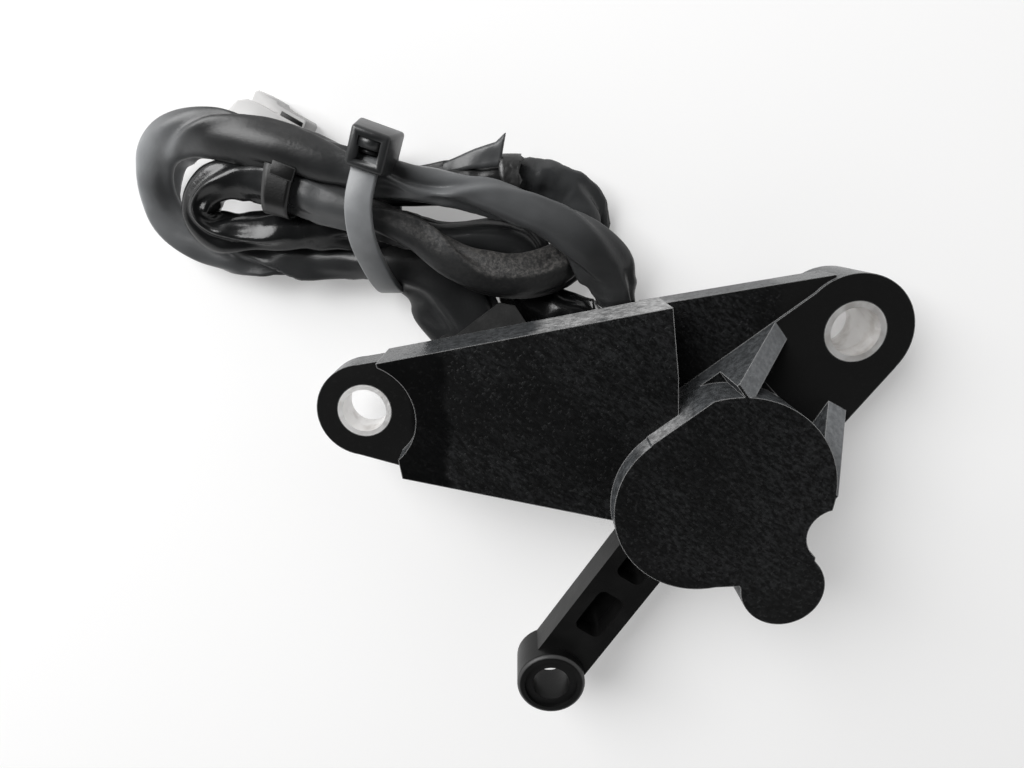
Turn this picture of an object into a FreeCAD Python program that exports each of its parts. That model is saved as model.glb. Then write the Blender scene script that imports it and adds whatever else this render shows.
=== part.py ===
import FreeCAD, Part
import math
import os
import re
import Sketcher

# Trim sender: a moulded housing with two bolt ears, a round sensor cup, a pivoting lever behind the
# cup and a sheathed lead tied into a hank.  Origin: the right bolt hole where its boss meets the
# engine.  X runs along the plate, Y towards the lead, Z from the mounting side to the cup's face.
SIZES = {
    "left_hole_x": -69.7, "left_hole_y": -10.9,
    "right_bore": 7.0, "right_collar_wall": 0.85, "right_boss_height": 10.0, "right_ear_radius": 8.3,
    "left_bore": 6.2, "left_collar_wall": 0.7, "left_ear_thickness": 5.2, "left_ear_radius": 6.8,
    "spot_face_radius": 7.9,
    "plate_back": 8.1, "plate_thickness": 9.2, "plate_wall": 2.0,
    "plate_left_x": -66.8, "plate_left_top": -3.0, "plate_left_low_x": -64.0, "plate_left_low": -19.6,
    "plate_right_x": -27.8, "plate_right_top": 4.55, "plate_step_x": -26.4, "plate_step_y": -4.9,
    "stop_x": -29.4, "stop_y": -27.0,
    "web_back": 4.2, "web_thickness": 5.4, "web_corner_x": -3.6, "web_corner_y": 8.0,
    "wall_angle": 38.1, "wall_offset": 8.15, "rib_width": 3.1,
    "pivot_x": -18.4, "pivot_y": -20.2,
    "cup_back": 12.2, "cup_height": 8.2, "cup_radius": 13.6, "cup_wall": 2.0,
    "cheek_x": -22.6, "cheek_y": -22.9, "cheek_radius": 12.1,
    "lobe_x": -10.4, "lobe_y": -34.8, "lobe_radius": 5.9,
    "notch_x": -3.9, "notch_y": -26.6, "notch_radius": 4.1,
    "horn_x": -4.75, "horn_y": -20.9,
    "lever_back": 6.4, "lever_thickness": 5.1, "lever_arm": 44.2, "lever_angle": 237.2, "lever_width": 9.1,
    "hub_radius": 6.6, "lever_boss_radius": 5.5, "lever_boss_height": 7.2, "boss_round": 0.7,
    "pocket_depth": 3.4, "pocket_width": 4.7, "pocket_length": 7.9, "pocket_middle": 30.2,
    "inner_pocket_middle": 18.8, "pocket_corner": 1.2,
    "bush_bore": 6.0, "bush_wall": 1.3, "bush_recess": 0.4,
    "shaft_radius": 3.0, "shaft_fit": 0.05, "collar_flange_radius": 4.6, "clip_thickness": 0.8,
    "bearing_thickness": 1.8, "bearing_radius": 10.6, "seal_section": 1.2, "board_thickness": 0.8,
    "board_clearance": 0.4, "board_bore": 3.6, "carrier_thickness": 1.0, "carrier_clearance": 2.4,
    "wiper_gap": 0.2, "wiper_width": 1.4, "wiper_reach": 3.2, "wiper_start": 4.2,
    "spring_wire": 0.9, "spring_radius": 5.6, "spring_opening": 3.0, "spring_gap": 0.12,
    "lead_radius": 0.6, "lead_pitch": 2.2, "lead_length": 13.0, "lead_gap": 0.05, "lead_offset": 2.0,
    "terminal_thickness": 0.5, "terminal_width": 1.2, "terminal_length": 0.8,
    "boot_x": -54.6, "boot_y": -6.5, "boot_width": 10.4, "boot_length": 9.0, "boot_height": 7.4, "boot_lip": 0.7,
    "lip_left": 4.2, "lip_right": 8.2, "lip_tip": 6.3, "lip_reach": 10.2, "lip_root": 4.0,
    "cable_radius": 3.1,
    "hank_height": 13.4, "hank_run": 6.8, "loop_end_radius": 9.2,
    "left_loop_x": -90.3, "left_loop_y": 18.6, "right_loop_x": -42.8, "right_loop_y": 13.0,
    "waist_x": -67.0, "waist_y": 14.6, "waist_width": 18.4, "waist_length": 15.0,
    "tie_width": 3.6, "tie_band": 1.2, "tie_head": 6.6, "tie_head_height": 4.6,
    "plug_x": -90.9, "plug_y": 25.3, "plug_turn": -29.0, "plug_length": 12.0, "plug_width": 6.6,
    "plug_height": 6.4, "plug_wall": 1.0, "rail_length": 8.2, "rail_width": 2.8, "rail_height": 5.2,
    "latch_length": 2.6, "latch_width": 1.4, "latch_height": 0.5, "pin_size": 0.7, "pin_pitch": 1.6,
    "seal_length": 3.0, "seal_fit": 0.1, "plug_clearance": 0.3,
    "clip_x": -80.0, "clip_length": 3.6, "tape_run": 15.6, "tape_length": 3.6, "tape_height": 6.4,
    "tape_rise": 1.2, "tape_thickness": 0.6,
}
# The lead's short free run, from the boot to the hank, as the cord's own hand-chosen points.
TAIL_ROUTE = [(-54.6, -1.5, 4.2), (-54.73, 1.0, 4.2), (-55.12, 3.47, 4.2), (-55.77, 5.88, 4.2)]

doc = FreeCAD.newDocument("trim_sender")
sheet = doc.addObject("Spreadsheet::Sheet", "sizes")
for row, (alias, value) in enumerate(SIZES.items(), start=1):
    sheet.set("A%d" % row, str(value))
    sheet.setAlias("A%d" % row, alias)
doc.recompute()


def formula(text):
    """Turn a formula over plain size names into one over the sheet's cells."""
    names = r"[a-z_]+"
    return re.sub(names, lambda word: "sizes." + word[0] if word[0] in SIZES else word[0], str(text))


def bind(thing, **formulas):
    """Tie properties of an object to formulas over the sheet."""
    for name, text in formulas.items():
        thing.setExpression(name, formula(text))


def place(thing, x=0, y=0, z=0, turn=None):
    """Tie an object's position, and its turn about Z in degrees, to formulas."""
    for axis, text in zip("xyz", (x, y, z)):
        thing.setExpression("Placement.Base." + axis, formula(text))
    if turn is not None:
        thing.Placement.Rotation = FreeCAD.Rotation(FreeCAD.Vector(0, 0, 1), 1)
        thing.setExpression("Placement.Rotation.Angle", formula(turn))
    return thing


def cylinder(name, radius, height, x=0, y=0, z=0):
    """A round bar or bore along Z."""
    bar = doc.addObject("Part::Cylinder", name)
    bind(bar, Radius=radius, Height=height)
    return place(bar, x, y, z)


def block(name, length, width, height, x=0, y=0, z=0, turn=None):
    """A box whose low corner is at x, y, z."""
    box = doc.addObject("Part::Box", name)
    bind(box, Length=length, Width=width, Height=height)
    return place(box, x, y, z, turn)


def prism(name, corners, z, height):
    """A straight-sided slab over a polygon, each corner tied to its own pair of formulas."""
    sketch = doc.addObject("Sketcher::SketchObject", name + "_outline")
    count = len(corners)
    start = [FreeCAD.Vector(math.cos(2 * math.pi * i / count), math.sin(2 * math.pi * i / count), 0)
             for i in range(count)]
    for i in range(count):
        sketch.addGeometry(Part.LineSegment(start[i], start[(i + 1) % count]))
    for i in range(count):
        sketch.addConstraint(Sketcher.Constraint("Coincident", i, 2, (i + 1) % count, 1))
    for i, corner in enumerate(corners):
        for kind, text in zip(("DistanceX", "DistanceY"), corner):
            number = sketch.addConstraint(Sketcher.Constraint(kind, -1, 1, i, 1, 1.0))
            sketch.setExpression("Constraints[%d]" % number, formula(text))
    place(sketch, z=z)
    slab = doc.addObject("Part::Extrusion", name)
    slab.Base = sketch
    slab.DirMode = "Custom"
    slab.Dir = FreeCAD.Vector(0, 0, 1)
    slab.Solid = True
    bind(slab, LengthFwd=height)
    return slab


def fuse(name, pieces):
    """One solid from overlapping pieces, with the seams between flush faces removed."""
    whole = doc.addObject("Part::MultiFuse", name)
    whole.Shapes = pieces
    whole.Refine = True
    return whole


def cut(name, base, tool):
    """The base with the tool's space taken out."""
    rest = doc.addObject("Part::Cut", name)
    rest.Base = base
    rest.Tool = tool
    rest.Refine = True
    return rest


def ring(name, outer, inner, height, x, y, z):
    """A round tube or washer along Z."""
    hole = cylinder(name + "_hole", inner, height, x, y, z)
    return cut(name, cylinder(name + "_outer", outer, height, x, y, z), hole)


def rib(name, rise, run, x, y, z, turn):
    """A gusset: upright at its start, sloping down to nothing along its run."""
    wedge = doc.addObject("Part::Wedge", name)
    bind(wedge, Xmin=0, X2min=0, Xmax=run, X2max="0.4", Ymin=0, Ymax=rise)
    bind(wedge, Zmin=0, Z2min=0, Zmax="rib_width", Z2max="rib_width")
    upright = FreeCAD.Rotation(FreeCAD.Vector(1, 0, 0), 90)
    wedge.Placement = FreeCAD.Placement(FreeCAD.Vector(0, 0, 0), upright)
    holder = doc.addObject("Part::Compound", name + "_turned")
    holder.Links = [wedge]
    return place(holder, x, y, z, turn)


CUP_FACE = "(cup_back + cup_height)"
WALL_COS = "cos(wall_angle * 1 deg)"
WALL_SIN = "sin(wall_angle * 1 deg)"
LEVER_COS = "cos(lever_angle * 1 deg)"
LEVER_SIN = "sin(lever_angle * 1 deg)"
PIVOT = ("pivot_x", "pivot_y")

# Housing: the raised plate, with the slanted stop corner that the lever meets at rest.
plate = prism("plate", [
    ("plate_left_x", "plate_left_top"), ("plate_right_x", "plate_right_top"),
    ("plate_step_x", "plate_step_y"), ("stop_x + 3.5", "stop_y + 14.5"), ("stop_x + 1.5", "stop_y + 7.5"),
    ("stop_x", "stop_y"), ("plate_left_low_x", "plate_left_low"),
], "plate_back", "plate_thickness")
left_ear = fuse("left_ear", [
    cylinder("left_ear_round", "left_ear_radius", "left_ear_thickness", "left_hole_x", "left_hole_y",
             "plate_back"),
    prism("left_ear_root", [
        ("left_hole_x - 1.5", "left_hole_y + left_ear_radius * 0.97"), ("plate_left_x + 3", "plate_left_top"),
        ("plate_left_low_x + 3", "plate_left_low"), ("plate_left_low_x", "plate_left_low"),
        ("left_hole_x - 1.5", "left_hole_y - left_ear_radius * 0.97"),
    ], "plate_back", "left_ear_thickness"),
])
spot_face = cylinder("spot_face", "spot_face_radius", "plate_thickness", "left_hole_x", "left_hole_y",
                     "plate_back + left_ear_thickness")

# Housing: the sensor cup's outline is two overlapping rounds, a corner lobe and a thumb notch,
# trimmed on its upper left by the long straight wall that runs on to the right ear.
cup = fuse("cup_rounds", [
    cylinder("cup_round", "cup_radius", "cup_height", "pivot_x", "pivot_y", "cup_back"),
    cylinder("cup_cheek", "cheek_radius", "cup_height", "cheek_x", "cheek_y", "cup_back"),
    cylinder("cup_lobe", "lobe_radius", "cup_height", "lobe_x", "lobe_y", "cup_back"),
    prism("cup_core", [
        ("pivot_x", "pivot_y + 8"), ("cheek_x", "cheek_y"), ("cheek_x + 2.6", "cheek_y - cheek_radius + 0.3"),
        ("lobe_x - 6.1", "lobe_y + 0.3"), ("lobe_x - 5.1", "lobe_y - 1.9"), ("lobe_x - 1.5", "lobe_y - 5.7"),
        ("lobe_x", "lobe_y"), ("lobe_x + 4", "lobe_y + 4.3"), ("horn_x - 1.9", "horn_y - 2.4"),
        ("horn_x", "horn_y"),
    ], "cup_back", "cup_height"),
])
cup = cut("cup_notched", cup, cylinder("cup_notch", "notch_radius", "cup_height", "notch_x", "notch_y",
                                       "cup_back"))
beyond_wall = block("beyond_wall", "cup_radius * 3", "cup_radius", "cup_height",
                    f"-wall_offset * {WALL_SIN} - cup_radius * 3 * {WALL_COS}",
                    f"wall_offset * {WALL_COS} - cup_radius * 3 * {WALL_SIN}", "cup_back", "wall_angle")
cup = cut("cup_shell", cup, beyond_wall)

# Housing: the low web beside the plate, the arm out to the right ear and its two gusset ribs.
web = prism("web", [
    ("plate_right_x - 2", "plate_right_top - 1"), ("web_corner_x", "web_corner_y"), ("0", "0"),
    ("stop_x + 5", "stop_y + 14.5"), ("plate_step_x - 2", "plate_step_y - 2"),
], "web_back", "web_thickness")
arm = prism("arm", [
    (f"-wall_offset * {WALL_SIN}", f"wall_offset * {WALL_COS}"),
    (f"-wall_offset * {WALL_SIN} - 26 * {WALL_COS}", f"wall_offset * {WALL_COS} - 26 * {WALL_SIN}"),
    ("stop_x + 3", "stop_y + 13.9"), ("pivot_x + 9", "pivot_y + 7.4"), ("horn_x", "horn_y"),
    ("right_ear_radius * 0.79", "-right_ear_radius * 0.62"),
], "web_back", "right_boss_height - web_back")
skirt = prism("skirt", [
    (f"-wall_offset * {WALL_SIN} - 15 * {WALL_COS}", f"wall_offset * {WALL_COS} - 15 * {WALL_SIN}"),
    (f"-wall_offset * {WALL_SIN} - 30 * {WALL_COS}", f"wall_offset * {WALL_COS} - 30 * {WALL_SIN}"),
    ("stop_x + 3", "stop_y + 13.9"), ("pivot_x + 9", "pivot_y + 7.4"), ("horn_x - 0.6", "horn_y + 0.4"),
    ("pivot_x + cup_radius * 0.9", "pivot_y + cup_radius * 0.4"),
    ("pivot_x + cup_radius * 0.6", "pivot_y + cup_radius * 0.78"),
], "web_back", "cup_back + 1 - web_back")
right_ear = cylinder("right_ear", "right_ear_radius", "right_boss_height")
left_rib = rib("left_rib", f"{CUP_FACE} - right_boss_height", f"{CUP_FACE} - right_boss_height",
               f"-wall_offset * {WALL_SIN} - 18.6 * {WALL_COS}", f"wall_offset * {WALL_COS} - 18.6 * {WALL_SIN}",
               "right_boss_height", "wall_angle")
right_rib = rib("right_rib", f"{CUP_FACE} - right_boss_height", f"{CUP_FACE} - right_boss_height",
                "horn_x - rib_width * 0.87", "horn_y + rib_width * 0.5", "right_boss_height", "61")

housing_block = fuse("housing_block", [cut("plate_spot", plate, spot_face), left_ear, cup, web, arm, skirt,
                                       right_ear, left_rib, right_rib])

# Housing: what is hollow, all open towards the mounting side.
bearing_seat = cylinder("bearing_seat", "bearing_radius", "cup_height - cup_wall", *PIVOT, "cup_back")
hub_space = cylinder("hub_space", "hub_radius + 0.8", "cup_back - web_back + 0.02", *PIVOT, "web_back - 0.01")
FILL_CORNERS = [
    ("plate_left_low_x + plate_wall + 2.6", "plate_left_top - plate_wall - 1.1"),
    ("plate_right_x - plate_wall", "plate_right_top - plate_wall - 0.3"),
    ("plate_step_x - plate_wall - 1.1", "plate_step_y - plate_wall"),
    ("stop_x - plate_wall", "stop_y + 14"), ("stop_x - plate_wall - 4.5", "stop_y + plate_wall + 2.4"),
    ("plate_left_low_x + plate_wall + 2.6", "plate_left_low + plate_wall - 0.2"),
]
fill_space = prism("fill_space", FILL_CORNERS, "plate_back", "plate_thickness - plate_wall")
LEAD_Z = "(cup_back + bearing_thickness + lead_gap + lead_radius)"
lead_channel = block("lead_channel", "bearing_radius", "lead_pitch * 2 + lead_radius * 2 + lead_gap * 2",
                     "(lead_radius + lead_gap) * 2", "pivot_x - bearing_radius * 1.75",
                     "pivot_y + lead_offset - lead_pitch - lead_radius - lead_gap", f"{LEAD_Z} - lead_radius - lead_gap")
right_hole = cylinder("right_hole", "right_bore / 2 + right_collar_wall", "right_boss_height")
left_hole = cylinder("left_hole", "left_bore / 2 + left_collar_wall", "left_ear_thickness", "left_hole_x",
                     "left_hole_y", "plate_back")
housing = cut("housing", housing_block, fuse("housing_spaces", [
    bearing_seat, hub_space, fill_space, lead_channel, right_hole, left_hole]))

# Pressed steel collars that take the bolts' clamping load.
right_collar = ring("right_collar", "right_bore / 2 + right_collar_wall", "right_bore / 2",
                    "right_boss_height", 0, 0, 0)
left_collar = ring("left_collar", "left_bore / 2 + left_collar_wall", "left_bore / 2", "left_ear_thickness",
                   "left_hole_x", "left_hole_y", "plate_back")

# Sensor parts inside the cup, from its mouth inwards.
bearing_plate = cut("bearing_plate", ring("bearing_disc", "bearing_radius", "shaft_radius + shaft_fit",
                                          "bearing_thickness", *PIVOT, "cup_back"),
                    cylinder("seal_seat", "shaft_radius + shaft_fit + seal_section", "seal_section", *PIVOT,
                             "cup_back"))
shaft_seal = ring("shaft_seal", "shaft_radius + shaft_fit + seal_section", "shaft_radius + shaft_fit",
                  "seal_section", *PIVOT, "cup_back")
BOARD_RADIUS = "(bearing_radius - board_clearance)"
CARRIER_RADIUS = "(bearing_radius - carrier_clearance)"
BOARD_Z = "(cup_back + cup_height - cup_wall - board_thickness)"
element_board = ring("element_board", BOARD_RADIUS, "board_bore", "board_thickness", *PIVOT, BOARD_Z)
CARRIER_Z = f"({BOARD_Z} - wiper_gap - terminal_thickness - carrier_thickness)"
wiper_carrier = ring("wiper_carrier", CARRIER_RADIUS, "shaft_radius", "carrier_thickness", *PIVOT, CARRIER_Z)


def strips(name, count, make):
    """A group of separate like solids in one node."""
    group = doc.addObject("Part::Compound", name)
    group.Links = [make(i) for i in range(count)]
    return group


wiper_contacts = strips("wiper_contacts", 2, lambda i: block(
    f"wiper_{i}", "wiper_reach", "wiper_width", "terminal_thickness", ("pivot_x + wiper_start", "pivot_x - wiper_start - wiper_reach")[i],
    "pivot_y - wiper_width / 2", f"{CARRIER_Z} + carrier_thickness"))
element_terminals = strips("element_terminals", 3, lambda i: block(
    f"terminal_{i}", "terminal_length", "terminal_width", f"{BOARD_Z} - {LEAD_Z} - lead_radius",
    f"pivot_x - {CARRIER_RADIUS} - wiper_gap - terminal_length",
    f"pivot_y + lead_offset + {i - 1} * lead_pitch - terminal_width / 2",
    f"{LEAD_Z} + lead_radius"))


def lead_bar(name, i):
    """One insulated wire from under its terminal to the resin."""
    bar = cylinder(f"{name}_{i}", "lead_radius", "lead_length")
    bar.Placement.Rotation = FreeCAD.Rotation(FreeCAD.Vector(0, 1, 0), -90)
    return place(bar, f"pivot_x - {CARRIER_RADIUS} - wiper_gap",
                 f"pivot_y + lead_offset + {i - 1} * lead_pitch", LEAD_Z)


lead_wires = strips("lead_wires", 3, lambda i: lead_bar("lead_wire", i))

# Resin that fills the plate's back and holds the wires and the boot.
resin_fill = prism("resin_fill", FILL_CORNERS, "plate_back", "plate_thickness - plate_wall")
potting_resin = cut("potting_resin", resin_fill, strips("lead_paths", 3, lambda i: lead_bar("lead_path", i)))

# Lever side, in the lever's own frame: its bar runs along X from the pivot, and turns as one piece.
def edges_along(solid, direction):
    """The numbers of a solid's straight edges that run along one axis."""
    doc.recompute()
    numbers = []
    for number, edge in enumerate(solid.Shape.Edges, start=1):
        straight = edge.Curve.TypeId == "Part::GeomLine"
        if straight and abs(abs(edge.tangentAt(edge.FirstParameter).dot(direction)) - 1) < 1e-6:
            numbers.append(number)
    return numbers


def top_rim(solid):
    """The number of a round bar's upper edge."""
    doc.recompute()
    circles = [(edge.Curve.Center.z, number) for number, edge in enumerate(solid.Shape.Edges, start=1)
               if edge.Curve.TypeId == "Part::GeomCircle"]
    return [max(circles)[1]]


def rounded(name, solid, size, numbers):
    """A solid with some of its edges rounded by one named size."""
    soft = doc.addObject("Part::Fillet", name)
    soft.Base = solid
    radius = float(sheet.get(size))
    soft.Edges = [(number, radius, radius) for number in numbers]
    return soft


def turned(name, solid, x, y, z, turn):
    """A solid carried from its own frame to its place and angle on the part."""
    holder = doc.addObject("Part::Compound", name)
    holder.Links = [solid]
    return place(holder, x, y, z, turn)


UP = FreeCAD.Vector(0, 0, 1)
ALONG = FreeCAD.Vector(1, 0, 0)


def lever_pocket(name, middle):
    """A blind pocket in the lever's face with rounded corners."""
    box = block(name + "_box", "pocket_length", "pocket_width", "pocket_depth",
                f"{middle} - pocket_length / 2", "-pocket_width / 2", "lever_thickness - pocket_depth")
    return rounded(name, box, "pocket_corner", edges_along(box, UP))


boss_bar = cylinder("lever_boss_bar", "lever_boss_radius", "lever_boss_height", "lever_arm")
lever_block = fuse("lever_block", [
    cylinder("lever_hub", "hub_radius", "lever_thickness"),
    block("lever_bar", "lever_arm", "lever_width", "lever_thickness", 0, "-lever_width / 2"),
    rounded("lever_boss", boss_bar, "boss_round", top_rim(boss_bar)),
])
BUSH_RADIUS = "(bush_bore / 2 + bush_wall)"
lever_holes = fuse("lever_holes", [
    lever_pocket("outer_pocket", "pocket_middle"),
    lever_pocket("inner_pocket", "inner_pocket_middle"),
    cylinder("shaft_hole", "shaft_radius", "lever_thickness"),
    cylinder("bush_hole", BUSH_RADIUS, "lever_boss_height", "lever_arm"),
])
lever = turned("lever", cut("lever_cut", lever_block, lever_holes), *PIVOT, "lever_back", "lever_angle")
BOSS_X = f"pivot_x + lever_arm * {LEVER_COS}"
BOSS_Y = f"pivot_y + lever_arm * {LEVER_SIN}"
lever_bush = ring("lever_bush", BUSH_RADIUS, "bush_bore / 2", "lever_boss_height - bush_recess",
                  BOSS_X, BOSS_Y, "lever_back")
rotor_shaft = fuse("rotor_shaft", [
    cylinder("shaft_bar", "shaft_radius", f"{CARRIER_Z} + carrier_thickness - lever_back", *PIVOT, "lever_back"),
    cylinder("shaft_head", "collar_flange_radius", "clip_thickness", *PIVOT, "lever_back - clip_thickness"),
])
shaft_clip = ring("shaft_clip", "collar_flange_radius - 0.2", "shaft_radius", "clip_thickness", *PIVOT,
                  "cup_back + bearing_thickness + spring_gap")

# Torsion spring that turns the lever back to its stop: one open coil of flat wire on the bearing plate.
SPRING_Z = "(cup_back + bearing_thickness + spring_gap / 4)"
spring_coil = ring("spring_coil", "spring_radius + spring_wire / 2", "spring_radius - spring_wire / 2",
                   "spring_wire", *PIVOT, SPRING_Z)
return_spring = cut("return_spring", spring_coil, block(
    "spring_break", "spring_radius + spring_wire", "spring_opening", "spring_wire", "pivot_x",
    "pivot_y - spring_opening / 2", SPRING_Z))

# Rubber boot bonded to the plate's back, with its lip, where the lead leaves.
boot_bar = block("boot_bar", "boot_width", "boot_length", "boot_height", "boot_x - boot_width / 2",
                 "boot_y - boot_length / 2 + 0.5", "plate_back - boot_height")
boot_lip = prism("boot_lip", [
    ("boot_x - lip_left", "boot_y + lip_root"), ("boot_x + lip_root", "boot_y + lip_reach"),
    ("boot_x + lip_tip", "boot_y + lip_reach * 0.96"), ("boot_x + lip_right", "boot_y + lip_reach * 0.68"),
    ("boot_x + lip_root", "boot_y + lip_root / 2"),
], "plate_back - boot_lip", "boot_lip")
cable_boot = fuse("cable_boot", [rounded("boot_block", boot_bar, "pocket_corner", edges_along(boot_bar, UP)),
                                 boot_lip])


def cord_tube(name, points, radius):
    """A round cord along straight runs joined by tangent arcs, each as large as its runs allow."""
    corners = [FreeCAD.Vector(*point) for point in points]
    edges = []
    start = corners[0]
    for before, corner, after in zip(corners, corners[1:], corners[2:]):
        inward = (before - corner).normalize()
        outward = (after - corner).normalize()
        half_turn = (math.pi - inward.getAngle(outward)) / 2
        reach = 0.45 * min((before - corner).Length, (after - corner).Length)
        print(name, "bend radius %.1f mm" % (reach / math.tan(half_turn)))
        first = corner + inward * reach
        last = corner + outward * reach
        sagitta = reach / math.tan(half_turn) * (1 / math.cos(half_turn) - 1)
        bulge = corner + (inward + outward).normalize() * sagitta
        edges.append(Part.LineSegment(start, first).toShape())
        edges.append(Part.Arc(first, bulge, last).toShape())
        start = last
    edges.append(Part.LineSegment(start, corners[-1]).toShape())
    path = Part.Wire(edges)
    heading = corners[1] - corners[0]
    section = Part.Wire(Part.makeCircle(radius, corners[0], heading))
    tube = doc.addObject("Part::Feature", name)
    tube.Shape = path.makePipeShell([section], True, False)
    print(name, "length %.1f mm" % path.Length, "volume %.3f of section times length"
          % (tube.Shape.Volume / (math.pi * radius ** 2 * path.Length)))
    return tube


cable_tail = cord_tube("cable_tail", TAIL_ROUTE, float(sheet.get("cable_radius")))


# Hank: the lead's folded turns as one body, two flat loops pinched at the tie.
def stadium(name, x, y, radius):
    """A flat loop's outline from the waist to a loop's far end."""
    reach = f"hypot({x} - waist_x; {y} - waist_y)"
    bearing = f"atan2({y} - waist_y; {x} - waist_x)"
    return fuse(name, [
        cylinder(name + "_near", radius, "hank_height", "waist_x", "waist_y"),
        cylinder(name + "_far", radius, "hank_height", x, y),
        block(name + "_run", reach, f"2 * ({radius})", "hank_height",
              f"waist_x + ({radius}) * sin({bearing})", f"waist_y - ({radius}) * cos({bearing})", 0, bearing),
    ])


LEFT_LOOP = ("left_loop_x", "left_loop_y")
RIGHT_LOOP = ("right_loop_x", "right_loop_y")
LOOP_EYE = "loop_end_radius - hank_run"
loops = fuse("hank_loops", [stadium("left_loop", *LEFT_LOOP, "loop_end_radius"),
                            stadium("right_loop", *RIGHT_LOOP, "loop_end_radius")])
eyes = fuse("hank_eyes", [stadium("left_eye", *LEFT_LOOP, LOOP_EYE),
                          stadium("right_eye", *RIGHT_LOOP, LOOP_EYE)])
waist = block("hank_waist", "waist_length", "waist_width", "hank_height", "waist_x - waist_length / 2",
              "waist_y - waist_width / 2")
hank_body = fuse("hank_body", [cut("hank_open", loops, eyes), waist])


def tie_hoop(name, inset):
    """The strap's outer or inner form round the hank's waist."""
    box = block(name + "_box", "tie_width", f"waist_width - 2 * {inset}", f"hank_height - 2 * {inset}",
                "waist_x - tie_width / 2", f"waist_y - waist_width / 2 + {inset}", inset)
    return rounded(name, box, "tie_width", edges_along(box, ALONG))


tie_strap = cut("tie_strap", tie_hoop("tie_outside", 0), tie_hoop("tie_inside", "tie_band"))
tie_head = block("tie_head", "tie_head", "tie_head", "tie_head_height", "waist_x - tie_head / 2",
                 "waist_y + waist_width / 2 - tie_head / 2", "hank_height - tie_head_height + tie_band")
cable_tie = fuse("cable_tie", [tie_strap, tie_head])

# Connector on the lead's far end, lying slantwise and half under the left loop, in its own frame:
# its mouth is at 0, the lead's seal at its other end, and a latch rail runs along its outer side.
PLUG_COS = "cos(plug_turn * 1 deg)"
PLUG_SIN = "sin(plug_turn * 1 deg)"


def plug_spot(along, across):
    """Where a point of the connector's own frame is on the part."""
    return (f"plug_x + ({along}) * {PLUG_COS} - ({across}) * {PLUG_SIN}",
            f"plug_y + ({along}) * {PLUG_SIN} + ({across}) * {PLUG_COS}")


def plug_block(name, length, width, height, along, across, z):
    """A box that lies square in the connector's own frame."""
    return block(name, length, width, height, *plug_spot(along, across), z, "plug_turn")


plug_shell = fuse("plug_shell", [
    plug_block("plug_case", "plug_length", "plug_width", "plug_height", 0, 0, 0),
    plug_block("plug_rail", "rail_length", "rail_width", "rail_height", "plug_length - rail_length", "plug_width",
               0),
])
plug_mouth = plug_block("plug_mouth", "plug_length - 4 * plug_wall", "plug_width - 2 * plug_wall",
                        "plug_height - 2 * plug_wall", 0, "plug_wall", "plug_wall")
connector_body = cut("connector_body", plug_shell, plug_mouth)
connector_lock = plug_block("connector_lock", "latch_length", "latch_width", "latch_height",
                            "plug_length - latch_length - plug_wall",
                            "plug_width + rail_width / 2 - latch_width / 2", "rail_height")
connector_terminals = strips("connector_terminals", 3, lambda i: plug_block(
    f"plug_pin_{i}", "plug_length / 2", "pin_size", "pin_size", "plug_length / 2 - 4 * plug_wall",
    f"plug_width / 2 + {i - 1} * pin_pitch - pin_size / 2", "plug_height / 2 - pin_size / 2"))
seal_bar = cylinder("seal_bar", "cable_radius - seal_fit", "seal_length")
seal_bar.Placement.Rotation = FreeCAD.Rotation(FreeCAD.Vector(0, 1, 0), 90)
wire_seal = turned("wire_seal", seal_bar, *plug_spot("plug_length", "plug_width / 2"), "plug_height / 2", "plug_turn")
plug_space = plug_block("plug_space", "plug_length + seal_length + 3 * plug_clearance",
                        "plug_width + rail_width + 2 * plug_clearance", "plug_height + plug_clearance",
                        "-2 * plug_clearance", "-plug_clearance", 0)
hank_trimmed = cut("hank_trimmed", hank_body, fuse("hank_spaces", [
    tie_hoop("tie_bed", 0), block("tie_head_bed", "tie_head", "tie_head", "tie_head_height",
                                  "waist_x - tie_head / 2", "waist_y + waist_width / 2 - tie_head / 2",
                                  "hank_height - tie_head_height + tie_band"), plug_space]))
cable_hank = fuse("cable_hank", [hank_trimmed, tie_hoop("hank_neck", "tie_band")])
sheath_clip = block("sheath_clip", "clip_length", "hank_run - 0.6", "tie_band", "clip_x - clip_length / 2",
                    "left_loop_y + 0.4", "hank_height")
# Tape round the loop's outer run: the band that shows on the run's outer side.
RIGHT_BEARING = "atan2(right_loop_y - waist_y; right_loop_x - waist_x)"
tape_wrap = block("tape_wrap", "tape_length", "tape_thickness", "tape_height",
                  f"waist_x + tape_run * cos({RIGHT_BEARING}) - loop_end_radius * sin({RIGHT_BEARING})",
                  f"waist_y + tape_run * sin({RIGHT_BEARING}) + loop_end_radius * cos({RIGHT_BEARING})",
                  "tape_rise", RIGHT_BEARING)

NODES = [housing, right_collar, left_collar, bearing_plate, shaft_seal, element_board, wiper_carrier,
         wiper_contacts, element_terminals, lead_wires, potting_resin, lever, lever_bush, rotor_shaft,
         shaft_clip, return_spring, cable_boot, cable_tail, cable_hank, cable_tie, sheath_clip, tape_wrap,
         connector_body, connector_lock, connector_terminals, wire_seal]

doc.recompute()
for thing in doc.Objects:
    if "Invalid" in thing.State or "Error" in thing.State:
        raise RuntimeError("%s: %s" % (thing.Name, thing.State))
for node in NODES:
    if node.Shape.isNull() or not node.Shape.isValid():
        raise RuntimeError("%s has no valid shape" % node.Label)
    print(node.Label, len(node.Shape.Solids), "solids", "%.1f mm3" % node.Shape.Volume)
os.makedirs("parts", exist_ok=True)
for node in NODES:
    node.Shape.exportStep("parts/%s.step" % node.Label)
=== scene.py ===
import math

import bmesh
import bpy
import numpy as np
from mathutils import Matrix, Vector, noise


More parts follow.
